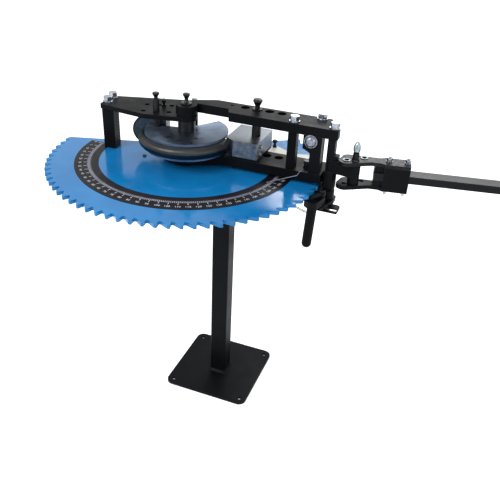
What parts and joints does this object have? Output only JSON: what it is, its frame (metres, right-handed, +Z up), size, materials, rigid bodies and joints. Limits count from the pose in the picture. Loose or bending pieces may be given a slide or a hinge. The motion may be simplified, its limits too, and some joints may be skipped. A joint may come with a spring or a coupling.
{
  "type": "rotary draw tube bender",
  "caption": "Pedestal tube bender: ratchet-driven toothed disc with a grooved bend die, counter die, pin-jointed frame plates and a long folding hand lever.",
  "frame": {"origin": "middle of the base plate's underside, on the floor, on the column's axis", "axes": "+Z up along the column and the die's pivot, +X to the lever's end with the base's sides along X and Y, +Y to the back edge of the toothed disc"},
  "size_m": [2.2083, 0.8627, 1.0965],
  "materials": {
    "frame_black": "satin black paint",
    "disc_blue": "satin blue paint",
    "scale_black": "black printed scale plate with pale marks",
    "bright_steel": "zinc plated",
    "pin_steel": "black oxide",
    "die_steel": "machined",
    "bronze": "turned",
    "tube_steel": "bright tube",
    "aluminium": "milled",
    "pad_plastic": "satin",
    "black_plastic": "matte",
    "grip_rubber": "matte",
    "lever_paint": "satin black paint"
  },
  "bodies": {
    "frame": {"base_plate": "frame_black", "column": "frame_black", "column_head": "frame_black", "under_arm": "frame_black", "under_washer": "bronze", "under_bolts": "bright_steel", "outer_bracket": "frame_black", "hub_lower_pin": "bright_steel", "loop_bracket": "bright_steel", "hold_pawl_pin": "bright_steel", "pawl_spring": "bright_steel", "hanger_block": "frame_black", "hanger_bolts": "bright_steel", "lower_frame_plate": "frame_black", "upper_frame_plate": "frame_black", "inner_post": "frame_black", "back_post": "frame_black", "end_plate": "frame_black", "plate_bolt": "bright_steel", "side_bolt": "bright_steel", "frame_bolts": "bright_steel", "hub_bolt": "bright_steel", "wear_pad": "pad_plastic", "pad_knob": "black_plastic", "pointer": "bright_steel"},
    "turntable": {"toothed_disc": "disc_blue", "degree_ring": "scale_black", "disc_bolt": "bright_steel", "disc_washer": "die_steel", "swing_leg": "frame_black", "rear_post": "frame_black", "rear_post_bolt": "bright_steel", "swing_plate": "frame_black", "swing_bolts": "bright_steel", "hub_collar": "die_steel", "top_washer": "die_steel", "die_washer": "die_steel", "bend_die": "die_steel", "sample_tube": "tube_steel", "hook_strap": "die_steel", "clamp_block": "die_steel"},
    "centre_pin": {"centre_pin": "pin_steel"},
    "drive_pin": {"drive_pin": "pin_steel"},
    "lock_pin": {"lock_pin": "pin_steel"},
    "counter_pin": {"counter_pin": "pin_steel"},
    "counter_die": {"counter_die": "aluminium", "counter_die_screws": "bright_steel", "counter_slide": "frame_black"},
    "lever_hub": {"lever_hub": "frame_black", "drive_pawl_pin": "bright_steel"},
    "lever": {"lever_bar": "lever_paint", "bar_end_caps": "black_plastic", "socket_block": "frame_black", "upper_lever_plate": "frame_black", "lower_lever_plate": "frame_black", "lever_bolts": "bright_steel"},
    "fold_pin": {"fold_pin": "pin_steel"},
    "drive_pawl": {"drive_pawl": "bright_steel"},
    "hold_pawl": {"hold_pawl": "bright_steel", "grip": "grip_rubber"}
  },
  "joints": [
    {"name": "disc_turn", "type": "hinge", "parent": "frame", "child": "turntable", "pos_m": [-0.181, 0.077, 0.85595], "axis": [0, 0, 1], "range_deg": [-27.69, 160]},
    {"name": "centre_pin_lift", "type": "slide", "parent": "frame", "child": "centre_pin", "axis": [0, 0, 1], "range_m": [0, 0.26]},
    {"name": "drive_pin_lift", "type": "slide", "parent": "turntable", "child": "drive_pin", "axis": [0, 0, 1], "range_m": [0, 0.12]},
    {"name": "lock_pin_lift", "type": "slide", "parent": "turntable", "child": "lock_pin", "axis": [0, 0, 1], "range_m": [0, 0.055]},
    {"name": "counter_pin_lift", "type": "slide", "parent": "frame", "child": "counter_pin", "axis": [0, 0, 1], "range_m": [0, 0.2]},
    {"name": "counter_die_turn", "type": "hinge", "parent": "frame", "child": "counter_die", "pos_m": [0.0545, 0.14, 0.93595], "axis": [0, 0, 1], "range_deg": [0, 4]},
    {"name": "lever_swing", "type": "hinge", "parent": "frame", "child": "lever_hub", "pos_m": [0.339, 0.089, 0.91595], "axis": [0, 0, 1], "range_deg": [0, 22]},
    {"name": "lever_fold", "type": "hinge", "parent": "lever_hub", "child": "lever", "pos_m": [0.42, 0.0785, 0.92095], "axis": [0, 0, 1], "range_deg": [-75, 60]},
    {"name": "fold_pin_lift", "type": "slide", "parent": "lever_hub", "child": "fold_pin", "axis": [0, 0, 1], "range_m": [0, 0.14]},
    {"name": "drive_pawl_turn", "type": "hinge", "parent": "lever_hub", "child": "drive_pawl", "pos_m": [0.3235, 0.1121, 0.84995], "axis": [0, 0, 1], "range_deg": [-40, 0]},
    {"name": "hold_pawl_turn", "type": "hinge", "parent": "frame", "child": "hold_pawl", "pos_m": [0.331, 0.039, 0.83595], "axis": [0, 0, 1], "range_deg": [-25, 8], "deforming": ["pawl_spring"]}
  ]
}
